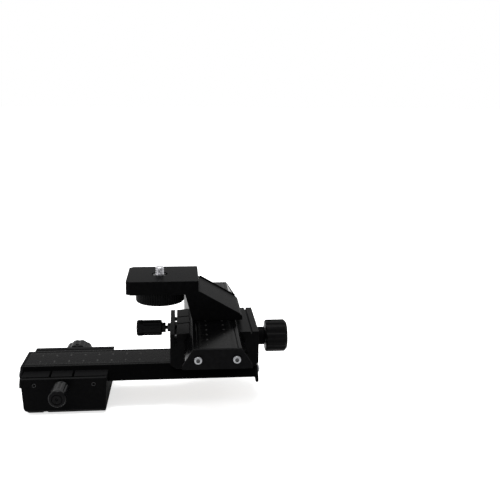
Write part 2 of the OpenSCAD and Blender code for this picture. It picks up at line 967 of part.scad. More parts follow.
// Cross block with the blind holes for the screws that come up through the long rail
module cross_block() {
    color(black)
        difference() {
            at_cross_block()
                block();
            at_long_rail()
                four_screws(cross_block_place, block_screw_spacing)
                    translate([0, 0, -over])
                        cylinder(h = mount_screw_reach + over + 0.5, r = mount_screw / 2 + seat_gap);
        }
}

module cross_block_screws() {
    color(steel)
        at_long_rail()
            four_screws(cross_block_place, block_screw_spacing)
                flat_screw();
}

module cross_shoe() {
    color(black)
        at_cross_block()
            shoe();
}

module cross_play_screws() {
    color(steel)
        at_cross_block()
            play_screw_set();
}

module cross_lock_bush() {
    color(steel)
        at_cross_block()
            lock_bush();
}

module cross_lock_screw() {
    color(steel)
        at_cross_block()
            lock_screw_bar();
}

module cross_lock_knob() {
    color(knob_black)
        at_cross_block()
            lock_knob();
}

module cross_pinion() {
    color(brass)
        at_cross_block()
            pinion();
}

module cross_pinion_bush() {
    color(black)
        at_cross_block()
            pinion_bush();
}

module cross_focus_knob() {
    color(knob_black)
        at_cross_block()
            focus_knob();
}

module cross_knob_screw() {
    color(steel)
        at_cross_block()
            knob_screw();
}

module cross_rail() {
    color(black)
        at_cross_rail()
            rail(rail_length / 2, bracket_screw_spacing);
}

module cross_rack() {
    color(brass)
        at_cross_rail()
            rack(rack_place_cross);
}

module cross_rack_screws() {
    color(steel)
        at_cross_rail()
            rack_screw_set();
}

module cross_plate_near() {
    color(black)
        at_cross_rail()
            translate([rail_length, 0, 0])
                end_plate();
}

module cross_plate_far() {
    color(black)
        at_cross_rail()
            translate([-plate_thickness, 0, 0])
                end_plate();
}

module cross_plate_screws() {
    color(steel)
        at_cross_rail()
            plate_screw_set();
}

// Side view of the bracket: a leaning foot, a ramp with a rounded toe and a flat platform
module bracket_side() {
    difference() {
        polygon([
            [-foot_left, 0],
            [foot_right, 0],
            [foot_right, ramp_toe],
            [-platform_reach + ramp_ledge, platform_bottom + ramp_rise],
            [-platform_reach, platform_bottom + ramp_rise],
            [-platform_reach, bracket_rise],
            [platform_end, bracket_rise],
            [platform_end, platform_bottom],
            [-foot_left - foot_lean, platform_bottom]
        ]);
        translate([foot_right - toe_radius, 0])
            difference() {
                translate([0, ramp_toe - toe_radius])
                    square([toe_radius + over, toe_radius + over]);
                translate([0, ramp_toe - toe_radius])
                    circle(r = toe_radius);
            }
    }
}

// Corner to be cut off, at the origin with the solid towards +X and -Y
module corner_cut(size) {
    polygon([
        [-over, -size - over],
        [size + over, over],
        [-over, over]
    ]);
}

// Camera bracket, one machined piece
module camera_bracket() {
    half_depth = bracket_depth / 2;
    color(black)
        at_bracket()
            difference() {
                along_y(-half_depth, half_depth)
                    bracket_side();
                for (side = [0, 1])
                    mirror([0, side, 0]) {
                        translate([platform_end, half_depth, platform_bottom - over])
                            linear_extrude(platform_thickness + 2 * over)
                                corner_cut(platform_corner);
                        translate([-platform_reach, half_depth, platform_bottom + ramp_rise])
                            linear_extrude(platform_thickness + over)
                                mirror([1, 0])
                                    corner_cut(platform_inner_corner);
                    }
                translate([-camera_screw_reach, 0, 0]) {
                    cylinder(h = bracket_rise + over, r = camera_screw_diameter / 2 + camera_screw_gap);
                    translate([0, 0, bracket_rise - clip_recess_depth])
                        cylinder(h = clip_recess_depth + over, r = clip_recess / 2);
                }
                rotate([0, 0, 90])
                    four_screws(0, bracket_screw_spacing)
                        translate([0, 0, -over])
                            cylinder(h = mount_screw_reach + over + 0.5, r = mount_screw / 2 + seat_gap);
            }
}

module bracket_screws() {
    color(steel)
        at_bracket()
            rotate([0, 0, 90])
                four_screws(0, bracket_screw_spacing)
                    flat_screw();
}

// Outline of the camera wheel with pointed ribs
module wheel_outline() {
    outer = wheel_diameter / 2;
    inner = outer - wheel_rib_depth;
    polygon([
        for (rib = [0 : wheel_ribs - 1])
            let (middle = rib * 360 / wheel_ribs, half = 180 / wheel_ribs)
                each [
                    outer * [cos(middle - half * 0.35), sin(middle - half * 0.35)],
                    outer * [cos(middle + half * 0.35), sin(middle + half * 0.35)],
                    inner * [cos(middle + half), sin(middle + half)]
                ]
    ]);
}

// Camera wheel: ribbed rim, chamfered below, with a dished underside
module camera_wheel() {
    outer = wheel_diameter / 2;
    edge = 0.8;
    dish_radius = outer * 0.6;
    dish_depth = 1.2;
    color(knob_black)
        at_bracket()
            translate([-camera_screw_reach, 0, wheel_bottom])
                difference() {
                    intersection() {
                        linear_extrude(wheel_height)
                            wheel_outline();
                        rotate_extrude()
                            polygon([
                                [0, 0],
                                [outer - edge, 0],
                                [outer, edge],
                                [outer, wheel_height - edge],
                                [outer - edge, wheel_height],
                                [0, wheel_height]
                            ]);
                    }
                    translate([0, 0, -over])
                        cylinder(h = dish_depth + over, r = dish_radius);
                    cylinder(h = wheel_height + over, r = camera_screw_diameter / 2 + seat_gap);
                }
}

module camera_screw() {
    groove_floor = clip_thickness + 0.1;
    groove_place = bracket_rise - clip_recess_depth + 0.1;
    color(steel)
        at_bracket()
            translate([-camera_screw_reach, 0, 0])
                difference() {
                    translate([0, 0, wheel_bottom + 1.2])
                        cylinder(
                            h = bracket_rise + camera_screw_height - wheel_bottom - 1.2,
                            r = camera_screw_diameter / 2
                        );
                    translate([0, 0, groove_place])
                        difference() {
                            cylinder(h = groove_floor, r = camera_screw_diameter);
                            translate([0, 0, -over])
                                cylinder(h = groove_floor + 2 * over, r = camera_screw_diameter / 2 - 0.5);
                        }
                }
}

// Washer that turns with the wheel
module camera_washer() {
    gap = 0.1;
    color(nylon)
        at_bracket()
            translate([-camera_screw_reach, 0, wheel_top])
                difference() {
                    cylinder(h = camera_washer_height - gap, r = camera_washer / 2);
                    translate([0, 0, -over])
                        cylinder(
                            h = camera_washer_height + 2 * over,
                            r = camera_screw_diameter / 2 + seat_gap
                        );
                }
}

// Retaining ring in the screw's groove, sunk below the platform's top
module camera_clip() {
    inner = camera_screw_diameter / 2 - 0.5 + seat_gap;
    outer = camera_screw_diameter / 2 + clip_width;
    opening = 3;
    color(steel)
        at_bracket()
            translate([-camera_screw_reach, 0, bracket_rise - clip_recess_depth + 0.15])
                difference() {
                    cylinder(h = clip_thickness, r = outer);
                    translate([0, 0, -over])
                        cylinder(h = clip_thickness + 2 * over, r = inner);
                    translate([0, -opening / 2, -over])
                        cube([outer + over, opening, clip_thickness + 2 * over]);
                }
}

tripod_block();
tripod_shoe();
tripod_play_screws();
tripod_lock_bush();
tripod_lock_screw();
tripod_lock_knob();
tripod_pinion();
tripod_pinion_bush();
tripod_focus_knob();
tripod_knob_screw();
tripod_bushing();
long_rail();
long_rack();
long_rack_screws();
long_plate_left();
long_plate_right();
long_plate_screws();
cross_block();
cross_shoe();
cross_play_screws();
cross_lock_bush();
cross_lock_screw();
cross_lock_knob();
cross_pinion();
cross_pinion_bush();
cross_focus_knob();
cross_knob_screw();
cross_block_screws();
cross_rail();
cross_rack();
cross_rack_screws();
cross_plate_near();
cross_plate_far();
cross_plate_screws();
camera_bracket();
bracket_screws();
camera_wheel();
camera_screw();
camera_washer();
camera_clip();
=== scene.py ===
"""Studio scene of a two-way macro focusing rail.

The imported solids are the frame. The big machined parts are shown as copies with
rounded edges, the turned and fluted parts as surfaces worked out on grids, and the
scale, the threads and the screw recesses are added on top. Lengths in the functions
below are millimetres unless a name says otherwise, and MM turns them into metres.

A "skin" is one closed surface as three arrays: its points (n, 3), its faces (m, 4) as
corner numbers with -1 where a face has only three, and the mark of each corner (m, 4, 2)
on the surface: how far round and how far along it lies. A "place" is a 4x4 matrix that
carries a skin to where it belongs.
"""
import json
import math

import bmesh
import bpy
import numpy as np
from mathutils import Matrix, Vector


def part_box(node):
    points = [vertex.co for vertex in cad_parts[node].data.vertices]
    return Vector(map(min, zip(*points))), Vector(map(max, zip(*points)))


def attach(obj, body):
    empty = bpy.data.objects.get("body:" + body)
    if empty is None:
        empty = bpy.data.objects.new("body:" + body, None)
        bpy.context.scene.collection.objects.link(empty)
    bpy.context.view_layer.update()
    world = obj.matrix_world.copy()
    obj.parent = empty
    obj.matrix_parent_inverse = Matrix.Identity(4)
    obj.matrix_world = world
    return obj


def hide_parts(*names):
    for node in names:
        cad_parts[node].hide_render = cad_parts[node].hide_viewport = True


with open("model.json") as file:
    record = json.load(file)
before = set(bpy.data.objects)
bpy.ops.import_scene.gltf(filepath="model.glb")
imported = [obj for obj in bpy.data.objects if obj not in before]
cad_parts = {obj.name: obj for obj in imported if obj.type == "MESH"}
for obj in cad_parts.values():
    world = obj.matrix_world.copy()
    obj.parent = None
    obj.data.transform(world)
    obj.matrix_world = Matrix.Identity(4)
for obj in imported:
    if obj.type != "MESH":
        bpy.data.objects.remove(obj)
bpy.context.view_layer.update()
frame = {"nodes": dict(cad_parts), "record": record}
nodes = frame["nodes"]
body_of_node = {name: body
                for body, names in frame["record"]["behaviour"]["bodies"].items()
                for name in names}

MM = 0.001              # metres in a millimetre
TAU = 2 * math.pi
MARK_PER_MM = 0.01      # how much the second mark grows along a millimetre of a turned outline
UP, DOWN = (0, 0, 1), (0, 0, -1)


# ---------------- places on the object

def box_mm(node):
    """Lowest and highest corner of a CAD node, in millimetres, as two arrays."""
    low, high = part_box(node)
    return np.array(low) / MM, np.array(high) / MM


def place_from(first, second, third, origin):
    """Place at origin with these three directions as its columns."""
    place = np.eye(4)
    place[:3] = np.stack([first, second, third, origin], axis=1)
    return place


def place_along(axis, origin):
    """Place at origin whose third column is axis.

    Its second column points up, or along +Y where the axis itself is upright."""
    axis = np.array(axis, float)
    second = np.array([0, 1.0, 0]) if abs(axis[2]) > 0.5 else np.array([0, 0, 1.0])
    return place_from(np.cross(second, axis), second, axis, origin)


def axis_place(node, axis):
    """Place of a round part: on its axis, at the node's end that is lowest along axis."""
    low, high = box_mm(node)
    axis = np.array(axis, float)
    return place_along(axis, (low + high) / 2 - axis * ((high - low) @ np.abs(axis)) / 2)


def placed(points, place):
    """Points of any shape (..., 3) carried by a place."""
    return points @ place[:3, :3].T + place[:3, 3]


# ---------------- surfaces

def lathe(profile, around, shape=None, loop=False):
    """Skin of a turned part: each (radius, height) of the profile is carried once round the axis.

    A point of the skin is (radius cos turn, radius sin turn, height). shape(turn, height, radius)
    may change the radius on the whole grid at once. Both ends of the profile lie on the axis and
    close as poles, or with loop its last row joins its first, as on a ring."""
    profile = np.asarray(profile, float)
    rows = len(profile)
    turn, radius = np.meshgrid(np.arange(around) / around * TAU, profile[:, 0])
    height = np.repeat(profile[:, 1:], around, axis=1)
    if shape is not None:
        radius = shape(turn, height, radius)
    points = np.stack([radius * np.cos(turn), radius * np.sin(turn), height], axis=-1)
    row, column = np.divmod(np.arange((rows if loop else rows - 1) * around), around)
    after, beside = (row + 1) % rows, (column + 1) % around
    corners = np.stack([row * around + column, row * around + beside,
                        after * around + beside, after * around + column], axis=1)
    steps = np.linalg.norm(np.diff(np.vstack([profile, profile[:1]]), axis=0), axis=1)
    length = np.concatenate([[0], np.cumsum(steps)]) * MARK_PER_MM
    marks_round = np.stack([column, column + 1, column + 1, column], axis=1) / around
    marks_along = length[np.stack([row, row, row + 1, row + 1], axis=1)]
    if not loop:
        first, last = row == 0, row == rows - 2
        corners[first, 0], corners[first, 1] = 0, -1
        corners[last, 2], corners[last, 3] = (rows - 1) * around, -1
    return points.reshape(-1, 3), corners, np.stack([marks_round, marks_along], axis=-1)


def bars(centres, sizes):
    """Skin of many straight bars: the corners of a unit cube, scaled and moved for each bar."""
    unit = np.array(np.meshgrid(*[[-0.5, 0.5]] * 3, indexing="ij")).reshape(3, 8).T
    points = (centres[:, None, :] + sizes[:, None, :] * unit).reshape(-1, 3)
    sides = np.array([[0, 1, 3, 2], [4, 6, 7, 5], [0, 4, 5, 1],
                      [2, 3, 7, 6], [0, 2, 6, 4], [1, 5, 7, 3]])
    corners = (np.arange(len(centres))[:, None, None] * 8 + sides).reshape(-1, 4)
    marks = np.tile(np.array([[0, 0], [1, 0], [1, 1], [0, 1]], float), (len(corners), 1, 1))
    return points, corners, marks


def outward(points, corners, marks):
    """The skin with its faces turned outwards.

    Its signed volume, the sum of a . (b x c) over its triangles, must be positive."""
    filled = np.where(corners < 0, np.roll(corners, 1, axis=1), corners)
    a, b, c, d = (points[filled[:, k]] for k in range(4))
    volume = np.sum(a * (np.cross(b, c) + np.cross(c, d)))
    if volume < 0:
        corners, marks = corners[:, ::-1], marks[:, ::-1]
    return points, corners, marks


def new_object(name, data):
    """An object with this data, linked to the scene."""
    obj = bpy.data.objects.new(name, data)
    bpy.context.scene.collection.objects.link(obj)
    return obj


def piece(name, skins, material, smooth_angle=35):
    """Object of one or more skins, each given with its place, or None where it needs none."""
    points, corners, marks, count = [], [], [], 0
    for skin, place in skins:
        if place is not None:
            skin = (placed(skin[0], place), *skin[1:])
        own_points, own_corners, own_marks = outward(*skin)
        points.append(own_points)
        corners.append(np.where(own_corners < 0, -1, own_corners + count))
        marks.append(own_marks)
        count += len(own_points)
    points, corners, marks = (np.concatenate(parts) for parts in (points, corners, marks))
    real = corners >= 0
    used, loops = np.unique(corners[real], return_inverse=True)
    sides = real.sum(axis=1)
    starts = np.concatenate([[0], np.cumsum(sides)[:-1]])
    mesh = bpy.data.meshes.new(name)
    mesh.vertices.add(len(used))
    mesh.vertices.foreach_set("co", (points[used] * MM).ravel())
    mesh.loops.add(len(loops))
    mesh.loops.foreach_set("vertex_index", loops.ravel().astype(np.int32))
    mesh.polygons.add(len(sides))
    mesh.polygons.foreach_set("loop_start", starts.astype(np.int32))
    mesh.update(calc_edges=True)
    layer = mesh.uv_layers.new(name="surface")
    layer.uv.foreach_set("vector", marks[real].ravel())
    mesh.shade_smooth()
    mesh.set_sharp_from_angle(angle=math.radians(smooth_angle))
    mesh.materials.append(material)
    return new_object(name, mesh)


def ride_with(obj, node, *others):
    """obj stands for a CAD node, and others like it, with its body."""
    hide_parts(node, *others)
    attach(obj, body_of_node[node])
    return obj


def stand_for(node, axis, kind, skin, material, smooth_angle=35):
    """Piece of one skin on the node's axis that stands for the node; kind ends its name."""
    made = piece(node + kind, [(skin, axis_place(node, axis))], material, smooth_angle)
    return ride_with(made, node)


def rounded_copy(node, width, material):
    """The CAD node's own solid with its doubles merged and its edges rounded by width millimetres.

    Faces that meet at an angle below flat are joined, and edges with one above sharp rounded."""
    doubles, flat, sharp = 0.0002 * MM, math.radians(0.6), math.radians(28)
    mesh = nodes[node].data.copy()
    mesh.name = node + "_finished"
    form = bmesh.new()
    form.from_mesh(mesh)
    bmesh.ops.remove_doubles(form, verts=form.verts, dist=doubles)
    bmesh.ops.dissolve_limit(form, angle_limit=flat, verts=form.verts, edges=form.edges)
    form.to_mesh(mesh)
    form.free()
    mesh.shade_smooth()
    mesh.materials.clear()
    mesh.materials.append(material)
    obj = new_object(node + "_finished", mesh)
    bevel = obj.modifiers.new("rounded edges", "BEVEL")
    bevel.width = width * MM
    bevel.segments = 2
    bevel.limit_method = "ANGLE"
    bevel.angle_limit = sharp
    bevel.use_clamp_overlap = False
    bevel.miter_outer = "MITER_ARC"
    even = obj.modifiers.new("flat faces kept flat", "WEIGHTED_NORMAL")
    even.mode = "FACE_AREA"
    even.weight = 80
    return ride_with(obj, node)


def narrower(obj, way, cut):
    """Draws the two ends of a piece in by cut millimetres, along X where way is 0 and Y where 1.

    A point moves in proportion to its distance from the middle."""
    points = np.empty(len(obj.data.vertices) * 3)
    obj.data.vertices.foreach_get("co", points)
    points = points.reshape(-1, 3)
    low, high = points[:, way].min(), points[:, way].max()
    middle = (low + high) / 2
    points[:, way] = middle + (points[:, way] - middle) * (1 - 2 * cut * MM / (high - low))
    obj.data.vertices.foreach_set("co", points.ravel())
    obj.data.update()


# ---------------- profiles and rims

def resample(profile, step):
    """Profile of (radius, height) corners with points added, so that none are over step apart."""
    profile = np.asarray(profile, float)
    points = [profile[:1]]
    for start, end in zip(profile[:-1], profile[1:]):
        count = max(1, int(math.ceil(np.linalg.norm(end - start) / step)))
        share = np.arange(1, count + 1)[:, None] / count
        points.append(start + (end - start) * share)
    return np.concatenate(points)


def rounded_profile(corners, radius, steps=4):
    """Profile whose inner corners are rounded.

    Each corner is cut back by radius, or by most of a short side's length, and bridged by a
    quadratic curve through the cut points with the corner as its pull."""
    most = 0.45
    corners = np.asarray(corners, float)
    share = np.linspace(0, 1, steps + 1)[:, None]
    points = [corners[:1]]
    for before, corner, after in zip(corners[:-2], corners[1:-1], corners[2:]):
        back, on = before - corner, after - corner
        cut = min(radius, most * np.linalg.norm(back), most * np.linalg.norm(on))
        first = corner + back / np.linalg.norm(back) * cut
        second = corner + on / np.linalg.norm(on) * cut
        points.append((1 - share) ** 2 * first + 2 * share * (1 - share) * corner
                      + share ** 2 * second)
    return np.concatenate(points + [corners[-1:]])


def smooth_least(first, second, softness):
    """Smaller of two values, with the kink between them rounded over softness."""
    blend = np.clip(0.5 + 0.5 * (second - first) / softness, 0, 1)
    return second + (first - second) * blend - softness * blend * (1 - blend)


def flute_wall(angle, count, crest, depth, flute, start):
    """Distance from the axis to the wall of evenly spaced round flutes, the first at angle start.

    A flute is a circle of radius flute whose centre lies at crest + flute - depth. The wall is
    the nearer crossing of a ray with that circle, and lies far outside where there is none."""
    pitch, far_outside = TAU / count, crest + 5
    offset = ((angle - start) / pitch + 0.5) % 1.0 * pitch - pitch / 2
    centre = crest + flute - depth
    inside = flute ** 2 - (centre * np.sin(offset)) ** 2
    near = centre * np.cos(offset) - np.sqrt(np.maximum(inside, 0))
    return np.where(inside > 0, near, far_outside)


def hexagon(turn):
    """How much further a hexagon's wall lies than its flats: 1 / cos of the angle to a flat."""
    return 1 / np.cos((turn + math.pi / 6) % (math.pi / 3) - math.pi / 6)


def thread_shape(major, depth, pitch, low, high):
    """Shape for lathe that cuts a thread between the heights low and high.

    The radius is the major radius less depth times a ridge that climbs one pitch a turn and is
    cut off flat at its crest and root."""
    steepness, flat = 1.6, 0.3

    def shape(turn, height, radius):
        ridge = np.abs((height / pitch - turn / TAU) % 1.0 - 0.5) * 2
        cut = depth * np.clip(steepness * ridge - flat, 0, 1)
        threaded = (radius > major - 0.01) & (height > low) & (height < high)
        return np.where(threaded, radius - cut, radius)
    return shape


# ---------------- the rail's own round parts

def bored(skin, profile, around, wall, reach, hole, hole_at, depths):
    """Skin of a turned part with a round hole through its wall, a quarter turn from its start.

    A patch of the grid round the hole gives way to rings that pass from the patch's border to a
    circle of radius hole at the height hole_at. A tube of circles, one at each distance of depths
    from the axis, leads down to a flat floor."""
    margin_along, margin_round, ring_count = 0.45, 0.35, 3
    points, corners, marks = skin
    beside_hole = np.abs(profile[:, 1] - hole_at) < hole + margin_along
    rows = np.flatnonzero((profile[:, 0] > reach - 1e-6) & beside_hole)
    low, high = rows[0], rows[-1]
    middle = around // 4
    half = int(math.ceil((hole + margin_round) / reach / TAU * around))
    left, right = middle - half, middle + half
    row, column = np.divmod(np.arange(len(corners)), around)
    keep = ~((row >= low) & (row < high) & (column >= left) & (column < right))
    border = np.concatenate([low * around + np.arange(left, right),
                             np.arange(low, high) * around + right,
                             high * around + np.arange(right, left, -1),
                             np.arange(high, low, -1) * around + left])
    turn, height = border % around / around * TAU, profile[border // around, 1]
    aside, along = reach * (turn - math.pi / 2), height - hole_at
    angle = np.arctan2(along, aside)
    circle = np.stack([np.cos(angle), np.sin(angle)], axis=1) * hole
    share = np.linspace(0, 1, ring_count + 1)[1:, None, None]
    flat = (1 - share) * np.stack([aside, along], axis=1) + share * circle
    turn = math.pi / 2 + flat[..., 0] / reach
    ring = wall(turn, 0, np.full_like(turn, reach))
    rings = np.stack([ring * np.cos(turn), ring * np.sin(turn), hole_at + flat[..., 1]], axis=-1)
    tube = np.stack(np.broadcast_arrays(-circle[:, 0], np.array(depths)[:, None],
                                        hole_at + circle[:, 1]), axis=-1)
    layers = np.concatenate([rings, tube])
    added = len(points) + np.arange(layers.shape[0] * len(angle)).reshape(layers.shape[:2])
    number = np.vstack([border, added])
    following = np.roll(number, -1, axis=1)
    sides = np.stack([number[:-1], following[:-1], following[1:], number[1:]], axis=-1)
    ending = np.stack([number[-1], following[-1], np.full(len(angle), added[-1, -1] + 1),
                       np.full(len(angle), -1)], axis=-1)
    patch = np.vstack([sides.reshape(-1, 4), ending])
    points = np.vstack([points, layers.reshape(-1, 3), [(0, depths[-1], hole_at)]])
    marks = np.vstack([marks[keep], np.zeros((len(patch), 4, 2))])
    return points, np.vstack([corners[keep], patch]), marks


def focus_knob(node, axis, material):
    """Focusing knob: broad shallow flutes, chamfered rims, a faintly domed face, a screw hole.

    The wall is the profile's radius or the flutes' wall, whichever is nearer, with softened
    crests. The dome is a cap of a sphere of radius swell."""
    reach, length, around = 11.6, 16.2, 192
    bore, bore_end, rim, chamfer, dome = 3.01, length - 3, 0.8, 1.8, 0.6
    softness, fluted_from = 0.14, 6
    flutes = dict(count=12, crest=reach, depth=0.7, flute=2.6, start=math.pi / 2)
    face = reach - chamfer
    swell = (face ** 2 + dome ** 2) / (2 * dome)
    across = np.linspace(face - 0.35, 0, 8)
    cap = np.stack([across, length - swell + np.sqrt(swell ** 2 - across ** 2)], axis=1)
    edge = rounded_profile([(bore, 0), (reach - rim, 0), (reach, rim),
                            (reach, length - dome - chamfer), (face, length - dome), cap[0]], 0.35)
    barrel = edge[edge[:, 0] > reach - 1e-6, 1]
    body = np.vstack([edge[edge[:, 1] <= barrel.min()], edge[edge[:, 1] >= barrel.max()]])
    profile = np.vstack([[(0, bore_end), (bore, bore_end)], resample(body, 0.4), cap[1:]])

    def wall(turn, height, radius):
        fluted = smooth_least(radius, flute_wall(turn, **flutes), softness)
        return np.where(radius > fluted_from, fluted, radius)

    skin = bored(lathe(profile, around, wall), profile, around, wall, reach,
                 hole=1.5, hole_at=3.2, depths=(10.7, 8.5, 3.3))
    return stand_for(node, axis, "_fluted", skin, material)


def lock_knob(node, axis, first_flute, material):
    """Lock knob: a beaded neck, a slim barrel whose flutes fade out at both ends, a plain head.

    The beads are a cosine wave in both directions on the neck, and the flutes' depth follows
    a smooth step along the barrel."""
    neck, barrel, head, end, head_long = 2.7, 5.6, 5.8, 20.8, 4.3
    bore, bore_end, neck_reach, head_start = 1.51, end - 4, 3.65, end - head_long
    beads_round, bead_long, bead_deep = 16, 0.9, 0.16
    outline = rounded_profile(
        [(bore, 0), (neck_reach, 0), (neck_reach, neck), (5.0, neck), (barrel, neck + 0.6),
         (barrel, head_start), (head, head_start + 0.3), (head, end - 1.3),
         (head - 0.4, end - 0.4), (head - 1.3, end), (3.72, end), (3.5, end - 0.6),
         (3.1, end - 0.6), (2.9, end), (1.05, end), (0.7, end - 0.7), (0, end - 0.9)], 0.3, 3)
    outline = resample(np.vstack([[(0, bore_end), (bore, bore_end)], outline]), 0.45)

    def wall(turn, height, radius):
        rise = np.clip((height - neck - 0.7) / 1.4, 0, 1)
        fade = rise * np.clip((head_start - 0.2 - height) / 1.6, 0, 1)
        grooves = flute_wall(turn, count=10, crest=barrel, depth=0.5, flute=0.95, start=first_flute)
        least = smooth_least(radius, grooves, 0.1)
        fluted = radius + (least - radius) * fade * fade * (3 - 2 * fade)
        on_barrel = (radius > 5.3) & (height > neck) & (height < head_start)
        on_neck = (radius > neck_reach - 0.05) & (height < neck) & (height > 0.15)
        wave = np.cos(turn * beads_round) * np.cos((height / bead_long - 0.5) * TAU)
        beaded = radius - bead_deep * (1 - wave) / 2
        return np.where(on_barrel, fluted, np.where(on_neck, beaded, radius))

    return stand_for(node, axis, "_fluted", lathe(outline, 160, wall), material)


def camera_wheel(material):
    """Camera wheel: a ring with sixty pointed ribs, chamfered rims and a dished underside.

    A rib is a flat-topped wave: the radius drops from the crest near the edges of its width."""
    outer, height, edge, ribs, rib_deep = 17.6, 9.4, 0.8, 60, 0.45
    bore, dish = 3.11, 1.2
    outline = rounded_profile(
        [(bore, dish), (10.2, dish), (10.56, 0), (outer - edge, 0), (outer, edge),
         (outer, height - edge), (outer - edge, height), (3.5, height), (bore, height - 0.4)],
        0.3, 3)

    def wall(turn, level, radius):
        wave = np.abs((turn / TAU * ribs + 0.5) % 1.0 - 0.5) * 2
        rib = outer - rib_deep * np.clip((wave - 0.55) / 0.3, 0, 1)
        return np.where(radius > outer - 1, np.minimum(radius, rib), radius)

    skin = lathe(resample(outline, 1.2), 480, wall, loop=True)
    return stand_for("camera_wheel", UP, "_ribbed", skin, material)


def socket_screws(node, spots, outline, flats, depth, material, around=36):
    """Screws with a hexagon socket, one at each (place, way in) of spots.

    The outline runs from the socket's rim over the head to the shank's end, with the outermost
    point of the head at zero. The socket's wall is flats / 2 times the hexagon, and its floor
    falls away to the drill's point."""
    half, start = flats / 2, outline[0][1]
    socket = [(0, depth + 0.5 * half), (half * 0.86, depth + 0.05 * half), (half * 0.94, depth),
              (half, depth - 0.06), (half, 0.14)]
    socket = [(radius, start + height) for radius, height in socket]
    profile = np.vstack([socket, rounded_profile(outline, 0.22, 3)])

    def hollow(turn, height, radius):
        inner = np.arange(len(profile))[:, None] < len(socket)
        return np.where(inner & (radius > half * 0.6), radius * hexagon(turn), radius)

    skin = lathe(profile, around, hollow)
    made = piece(node + "_socketed", [(skin, place_along(way, spot)) for spot, way in spots],
                 material)
    return ride_with(made, node)


def ring_piece(node, axis, outline, material, around=96):
    """A turned ring with a bore: its outline is a closed loop of (radius, height)."""
    skin = lathe(rounded_profile(outline, 0.12, 2), around, loop=True)
    return stand_for(node, axis, "_turned", skin, material)


def threaded_bar(node, axis, outline, thread, rows, material, around):
    """A screw bar with points rows millimetres apart and a thread; see thread_shape."""
    skin = lathe(resample(outline, rows), around, thread_shape(*thread))
    return stand_for(node, axis, "_threaded", skin, material, smooth_angle=50)


# ---------------- shared shader groups

class Wiring:
    """Short hand for placing and joining nodes in one tree."""

    def __init__(self, tree):
        self.tree = tree
        self.column = 0

    def add(self, kind, links=(), **settings):
        """Places a node, sets its values and joins the given sources to its inputs."""
        full_kind = kind if kind.startswith("NodeGroup") else "ShaderNode" + kind
        node = self.tree.nodes.new(full_kind)
        node.location = (self.column, 0)
        self.column += 190
        for key, value in settings.items():
            setattr(node, key, value)
        for target, source in dict(links).items():
            self.feed(node, target, source)
        return node

    def feed(self, node, target, source):
        """Joins a socket to an input, or sets the input's value."""
        if isinstance(source, bpy.types.NodeSocket):
            self.tree.links.new(source, node.inputs[target])
        else:
            node.inputs[target].default_value = source

    def group(self, group, links=()):
        """Places a shader group."""
        return self.add("Group", links, node_tree=group)

    def math(self, operation, first, second=0.0, clamp=False):
        """A Math node's result."""
        return self.add("Math", {0: first, 1: second}, operation=operation,
                        use_clamp=clamp).outputs[0]

    def more(self, value, factor, start):
        """start plus factor times value."""
        return self.add("Math", {0: value, 1: factor, 2: start},
                        operation="MULTIPLY_ADD").outputs[0]

    def spread(self, value, low, high, to_low=0.0, to_high=1.0):
        """value carried from the range low..high to to_low..to_high, and held at its ends."""
        return self.add("MapRange", {"Value": value, "From Min": low, "From Max": high,
                                     "To Min": to_low, "To Max": to_high}).outputs["Result"]

    def on_object(self):
        """The place of a point in the object's own coordinates."""
        return self.add("TexCoord").outputs["Object"]

    def noise(self, place, scale, detail, roughness=0.5):
        """Value of a noise at a place."""
        return self.add("TexNoise", {"Vector": place, "Scale": scale, "Detail": detail,
                                     "Roughness": roughness}).outputs["Fac"]

    def parts(self, vector):
        """The X, Y and Z of a vector."""
        return self.add("SeparateXYZ", {"Vector": vector}).outputs

    def mixed(self, mask, first, second):
        """Colour that goes from first to second with the mask."""
        node = self.add("Mix", {0: mask}, data_type="RGBA")
        for index, colour in ((6, first), (7, second)):
            is_socket = isinstance(colour, bpy.types.NodeSocket)
            self.feed(node, index, colour if is_socket else (*colour, 1.0))
        return node.outputs[2]


def new_group(name, inputs, outputs):
    """Node group with its wiring and its two ends.

    An input is (name, type, default) and an output (name, type)."""
    group = bpy.data.node_groups.new(name, "ShaderNodeTree")
    for label, kind, default in inputs:
        socket = group.interface.new_socket(label, in_out="INPUT", socket_type="NodeSocket" + kind)
        socket.default_value = default
    for label, kind in outputs:
        group.interface.new_socket(label, in_out="OUTPUT", socket_type="NodeSocket" + kind)
    w = Wiring(group)
    return group, w, w.add("NodeGroupInput").outputs, w.add("NodeGroupOutput")


def make_edge_wear():
    """Mask of edges that are partly worn and partly a painted highlight: how far the rounded normal
    leaves the true one, broken up by noise.
    """
    group, w, given, out = new_group("edge wear and painted edge highlight",
                                     [("Radius", "Float", 0.0003), ("Broken", "Float", 0.4)],
                                     [("Mask", "Float"), ("Normal", "Vector")])
    soft = w.add("Bevel", {"Radius": given["Radius"]}, samples=6).outputs["Normal"]
    true = w.add("NewGeometry").outputs["Normal"]
    same = w.add("VectorMath", {0: soft, 1: true}, operation="DOT_PRODUCT").outputs["Value"]
    edge = w.spread(w.math("SUBTRACT", 1.0, same), 0.01, 0.3)
    patches = w.noise(w.on_object(), 260.0, 4.0, roughness=0.6)
    broken = w.spread(patches, given["Broken"], 0.75)
    w.feed(out, "Mask", w.math("MULTIPLY", edge, broken, clamp=True))
    w.feed(out, "Normal", soft)
    return group


def make_grain():
    """Fine blasted grain: two sizes of noise as a height, and a slow drift for the roughness."""
    group, w, given, out = new_group("blasted grain",
                                     [("Scale", "Float", 3500.0), ("Coarse Scale", "Float", 420.0)],
                                     [("Height", "Float"), ("Drift", "Float")])
    place = w.on_object()
    fine = w.noise(place, given["Scale"], 2.0)
    coarse = w.noise(place, given["Coarse Scale"], 5.0)
    w.feed(out, "Height", w.more(coarse, 0.6, fine))
    w.feed(out, "Drift", coarse)
    return group


